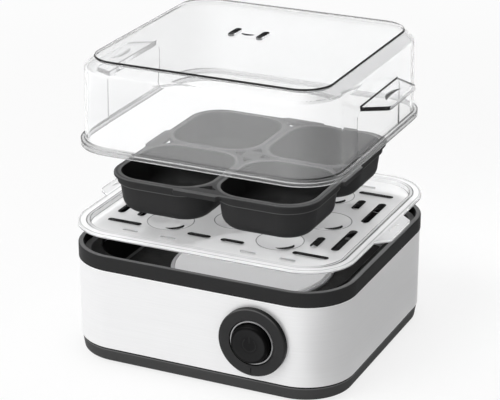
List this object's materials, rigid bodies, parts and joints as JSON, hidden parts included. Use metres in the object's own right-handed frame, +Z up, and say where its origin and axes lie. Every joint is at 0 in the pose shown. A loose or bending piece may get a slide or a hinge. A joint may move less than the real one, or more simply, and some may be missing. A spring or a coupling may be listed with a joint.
{
  "type": "egg cooker",
  "caption": "Countertop egg steamer: steel-banded base with water tub and heating plate, egg rack, poaching tray and clear lid stacked above it.",
  "frame": {"origin": "on the table, under the middle of the base", "axes": "+Z up, the control on the front faces -Y, +X to the right seen from the front"},
  "size_m": [0.231, 0.2125, 0.2257],
  "materials": {
    "brushed_band": "brushed",
    "black_trim": "satin",
    "black_coating": "satin",
    "silicone": "matte",
    "zinc_steel": "satin",
    "cast_aluminium": "satin",
    "heater_tube": "satin",
    "phenolic": "matte",
    "fuse_body": "satin",
    "rubber": "matte",
    "grey_trim": "satin",
    "inner_plastic": "matte",
    "bright_ring": "polished",
    "spring_steel": "satin",
    "lamp": "gloss",
    "wire_insulation": "matte",
    "button_cap": "satin",
    "clear_rack": "clear",
    "tray_plastic": "satin",
    "clear_lid": "clear"
  },
  "bodies": {
    "base": {"steel_band": "brushed_band", "top_collar": "black_trim", "tub_gasket": "silicone", "water_tub": "black_coating", "tub_screws": "zinc_steel", "plate_seal": "silicone", "heating_plate": "cast_aluminium", "heating_element": "heater_tube", "element_clamp": "zinc_steel", "clamp_screw": "zinc_steel", "thermostat": "phenolic", "thermal_fuse": "fuse_body", "fuse_clip": "zinc_steel", "bottom_cover": "black_trim", "cover_screws": "zinc_steel", "rubber_feet": "rubber", "button_bezel": "grey_trim", "bezel_nut": "inner_plastic", "light_ring": "bright_ring", "button_spring": "spring_steel", "button_carrier": "inner_plastic", "switch_bracket": "zinc_steel", "power_switch": "phenolic", "pilot_lamp": "lamp", "terminal_block": "inner_plastic", "cord_inlet_bush": "black_trim", "cord_inlet_nut": "inner_plastic", "internal_wires": "wire_insulation"},
    "button": {"power_button": "button_cap", "switch_plunger": "inner_plastic"},
    "rack": {"egg_rack": "clear_rack"},
    "tray": {"poaching_tray": "tray_plastic"},
    "lid": {"lid": "clear_lid"}
  },
  "joints": [
    {"name": "button_press", "type": "slide", "parent": "base", "child": "button", "axis": [0, 1, 0], "range_m": [0, 0.0025], "stiffness_N_per_m": 300, "deforming": ["button_spring"]},
    {"name": "rack_lift", "type": "slide", "parent": "base", "child": "rack", "axis": [0, 0, 1], "range_m": [-0.0134, 0]},
    {"name": "tray_lift", "type": "slide", "parent": "rack", "child": "tray", "axis": [0, 0, 1], "range_m": [-0.0126, 0]},
    {"name": "lid_lift", "type": "slide", "parent": "tray", "child": "lid", "axis": [0, 0, 1], "range_m": [-0.047, 0]}
  ]
}
